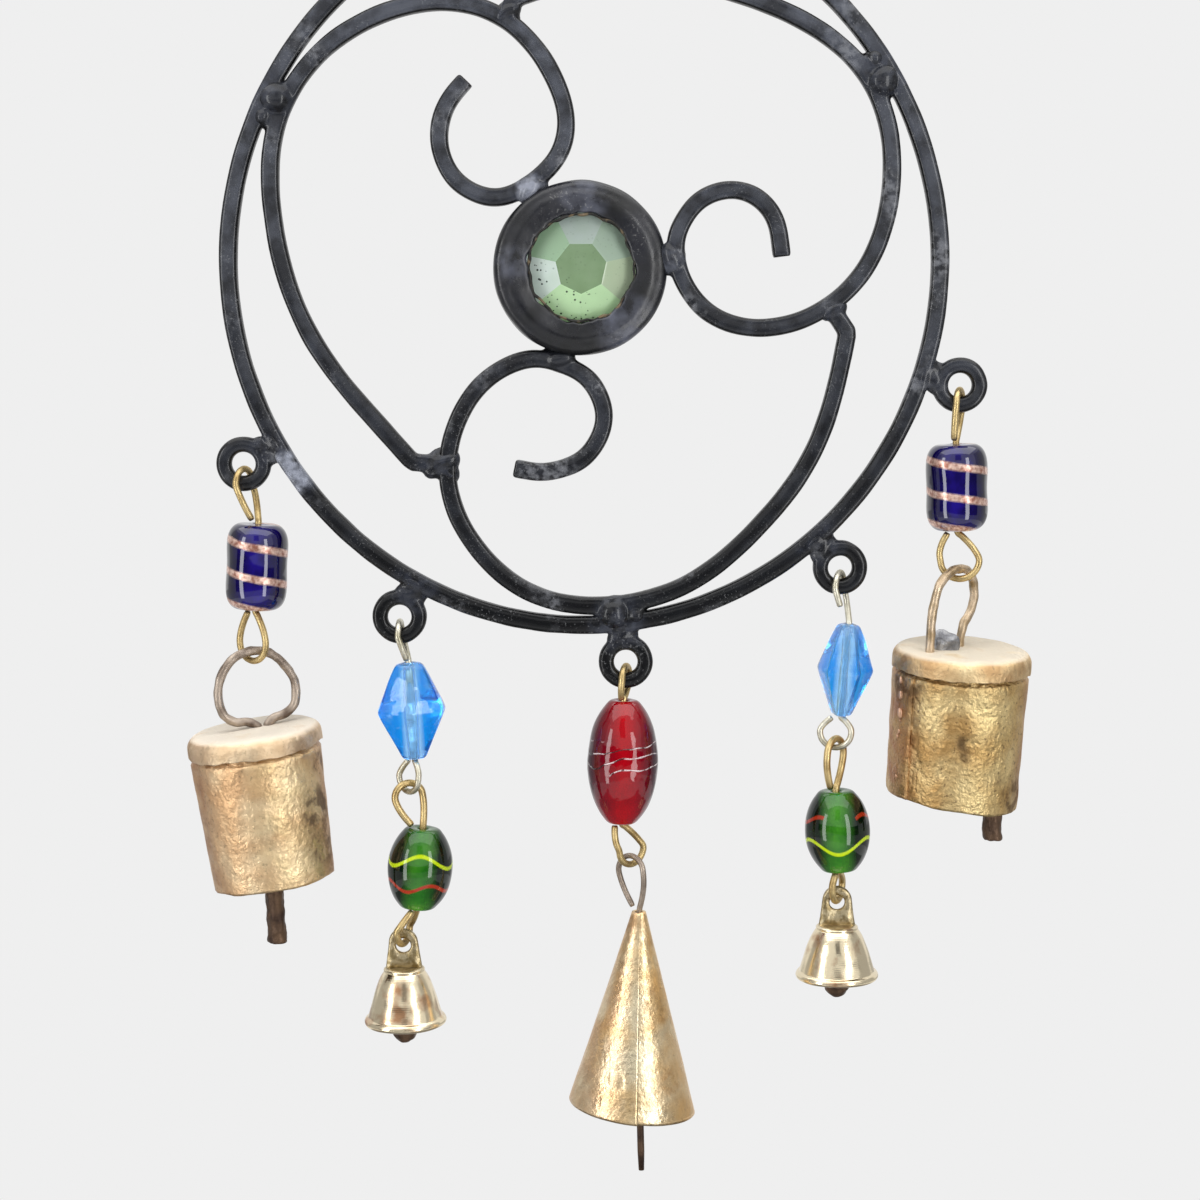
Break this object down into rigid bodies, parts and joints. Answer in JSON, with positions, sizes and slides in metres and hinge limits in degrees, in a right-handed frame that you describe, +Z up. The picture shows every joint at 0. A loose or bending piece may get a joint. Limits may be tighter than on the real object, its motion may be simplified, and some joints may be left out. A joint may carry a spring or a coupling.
{
  "type": "iron wind chime",
  "caption": "Round iron frame with scrollwork and a glass centre, hung by its top eye, carrying swinging strands of glass beads and metal bells on wire links.",
  "frame": {"origin": "centre of the hanging eye at the top of the ring", "axes": "+Z up, -Y the pictured front, +X to the right in the picture"},
  "size_m": [0.1894, 0.0335, 0.3002],
  "materials": {
    "black_iron": "satin black paint over iron bar",
    "gem_glass": "clear cut glass",
    "cobalt_glass": "glossy deep blue glass",
    "azure_glass": "glossy clear blue glass",
    "green_glass": "glossy green glass",
    "red_glass": "glossy red glass",
    "brass_wire": "bare drawn wire",
    "pale_wire": "pale drawn wire",
    "iron_wire": "browned iron wire",
    "brazed_sheet": "hammered sheet coated with braze",
    "cast_brass": "polished casting",
    "clapper_iron": "browned iron",
    "solder": "dull grey solder"
  },
  "bodies": {
    "frame": {"outer_ring": "black_iron", "scroll_left": "black_iron", "scroll_right": "black_iron", "scroll_lower": "black_iron", "bezel_front": "black_iron", "bezel_back": "black_iron", "centre_gem": "gem_glass", "hanging_eye": "black_iron", "eyelet_1": "black_iron", "eyelet_2": "black_iron", "eyelet_3": "black_iron", "eyelet_4": "black_iron", "eyelet_5": "black_iron"},
    "strand_1": {"link_wire_1": "brass_wire"},
    "cobalt_bead_1": {"cobalt_bead_1": "cobalt_glass"},
    "cow_bell_1": {"bell_loop_1": "iron_wire", "bell_cap_1": "brazed_sheet", "bell_shell_1": "brazed_sheet"},
    "clapper_1": {"clapper_1": "clapper_iron"},
    "strand_5": {"link_wire_5": "brass_wire"},
    "cobalt_bead_5": {"cobalt_bead_5": "cobalt_glass"},
    "cow_bell_5": {"bell_loop_5": "iron_wire", "bell_cap_5": "brazed_sheet", "bell_shell_5": "brazed_sheet", "solder_lump_5": "solder"},
    "clapper_5": {"clapper_5": "clapper_iron"},
    "strand_2": {"upper_link_2": "pale_wire"},
    "azure_bead_2": {"azure_bead_2": "azure_glass"},
    "lower_link_2": {"lower_link_2": "brass_wire"},
    "green_bead_2": {"green_bead_2": "green_glass"},
    "small_bell_2": {"small_bell_2": "cast_brass"},
    "bell_clapper_2": {"bell_clapper_2": "clapper_iron"},
    "strand_4": {"upper_link_4": "pale_wire"},
    "azure_bead_4": {"azure_bead_4": "azure_glass"},
    "lower_link_4": {"lower_link_4": "brass_wire"},
    "green_bead_4": {"green_bead_4": "green_glass"},
    "small_bell_4": {"small_bell_4": "cast_brass"},
    "bell_clapper_4": {"bell_clapper_4": "clapper_iron"},
    "strand_3": {"link_wire_3": "brass_wire"},
    "red_bead_3": {"red_bead_3": "red_glass"},
    "cone_bell_3": {"cone_hanger_3": "iron_wire", "cone_bell_3": "brazed_sheet"},
    "clapper_3": {"clapper_3": "clapper_iron"}
  },
  "joints": [
    {"name": "strand_1_swing", "type": "hinge", "parent": "frame", "child": "strand_1", "pos_m": [-0.0754, 0, -0.13608], "axis": [1, 0, 0], "range_deg": [-30, 30]},
    {"name": "cobalt_bead_1_spin", "type": "hinge", "parent": "strand_1", "child": "cobalt_bead_1", "pos_m": [-0.07292, 0, -0.15457], "axis": [0.0523, 0, 0.9986], "continuous": true},
    {"name": "cow_bell_1_swing", "type": "hinge", "parent": "strand_1", "child": "cow_bell_1", "pos_m": [-0.07414, 0, -0.17581], "axis": [0, 1, 0], "range_deg": [-8, 8]},
    {"name": "clapper_1_swing", "type": "hinge", "parent": "cow_bell_1", "child": "clapper_1", "pos_m": [-0.07142, 0.00078, -0.19803], "axis": [0.9312, 0.3418, 0.1264], "range_deg": [-14, 14]},
    {"name": "strand_5_swing", "type": "hinge", "parent": "frame", "child": "strand_5", "pos_m": [0.08281, 0, -0.11866], "axis": [1, 0, 0], "range_deg": [-30, 30]},
    {"name": "cobalt_bead_5_spin", "type": "hinge", "parent": "strand_5", "child": "cobalt_bead_5", "pos_m": [0.08256, 0, -0.1369], "axis": [-0.0349, 0, 0.9994], "continuous": true},
    {"name": "cow_bell_5_swing", "type": "hinge", "parent": "strand_5", "child": "cow_bell_5", "pos_m": [0.08351, 0, -0.15735], "axis": [0, 1, 0], "range_deg": [-8, 8]},
    {"name": "clapper_5_swing", "type": "hinge", "parent": "cow_bell_5", "child": "clapper_5", "pos_m": [0.0921, 0.0018, -0.18058], "axis": [0.999, 0, -0.0436], "range_deg": [-8, 8]},
    {"name": "strand_2_swing", "type": "hinge", "parent": "frame", "child": "strand_2", "pos_m": [-0.04125, 0, -0.17013], "axis": [1, 0, 0], "range_deg": [-30, 30]},
    {"name": "azure_bead_2_spin", "type": "hinge", "parent": "strand_2", "child": "azure_bead_2", "pos_m": [-0.03876, 0, -0.18711], "axis": [-0.0523, 0, 0.9986], "continuous": true},
    {"name": "lower_link_2_swing", "type": "hinge", "parent": "strand_2", "child": "lower_link_2", "pos_m": [-0.03957, 0, -0.2056], "axis": [1, 0, 0], "range_deg": [-15, 15]},
    {"name": "green_bead_2_spin", "type": "hinge", "parent": "lower_link_2", "child": "green_bead_2", "pos_m": [-0.0372, 0, -0.22307], "axis": [0.0785, 0, 0.9969], "continuous": true},
    {"name": "small_bell_2_swing", "type": "hinge", "parent": "lower_link_2", "child": "small_bell_2", "pos_m": [-0.04114, 0, -0.24064], "axis": [0, 1, 0], "range_deg": [-20, 20]},
    {"name": "bell_clapper_2_swing", "type": "hinge", "parent": "small_bell_2", "child": "bell_clapper_2", "pos_m": [-0.04098, 0, -0.25007], "axis": [1, 0, 0], "range_deg": [-12, 12]},
    {"name": "strand_4_swing", "type": "hinge", "parent": "frame", "child": "strand_4", "pos_m": [0.05686, 0, -0.15913], "axis": [1, 0, 0], "range_deg": [-30, 30]},
    {"name": "azure_bead_4_spin", "type": "hinge", "parent": "strand_4", "child": "azure_bead_4", "pos_m": [0.05831, 0, -0.1778], "axis": [0.0698, 0, 0.9976], "continuous": true},
    {"name": "lower_link_4_swing", "type": "hinge", "parent": "strand_4", "child": "lower_link_4", "pos_m": [0.05636, 0, -0.19548], "axis": [1, 0, 0], "range_deg": [-15, 15]},
    {"name": "green_bead_4_spin", "type": "hinge", "parent": "lower_link_4", "child": "green_bead_4", "pos_m": [0.05705, 0, -0.21446], "axis": [-0.0523, 0, 0.9986], "continuous": true},
    {"name": "small_bell_4_swing", "type": "hinge", "parent": "lower_link_4", "child": "small_bell_4", "pos_m": [0.05714, 0, -0.23065], "axis": [0, 1, 0], "range_deg": [-20, 20]},
    {"name": "bell_clapper_4_swing", "type": "hinge", "parent": "small_bell_4", "child": "bell_clapper_4", "pos_m": [0.05722, 0, -0.24028], "axis": [1, 0, 0], "range_deg": [-12, 12]},
    {"name": "strand_3_swing", "type": "hinge", "parent": "frame", "child": "strand_3", "pos_m": [0.00922, 0, -0.18025], "axis": [1, 0, 0], "range_deg": [-30, 30]},
    {"name": "red_bead_3_spin", "type": "hinge", "parent": "strand_3", "child": "red_bead_3", "pos_m": [0.00857, 0, -0.19865], "axis": [0.0175, 0, 0.9998], "continuous": true},
    {"name": "cone_bell_3_swing", "type": "hinge", "parent": "strand_3", "child": "cone_bell_3", "pos_m": [0.01052, 0, -0.22225], "axis": [0, 1, 0], "range_deg": [-10, 10]},
    {"name": "clapper_3_swing", "type": "hinge", "parent": "cone_bell_3", "child": "clapper_3", "pos_m": [0.01184, 0, -0.25045], "axis": [1, 0, 0], "range_deg": [-15, 15]}
  ]
}
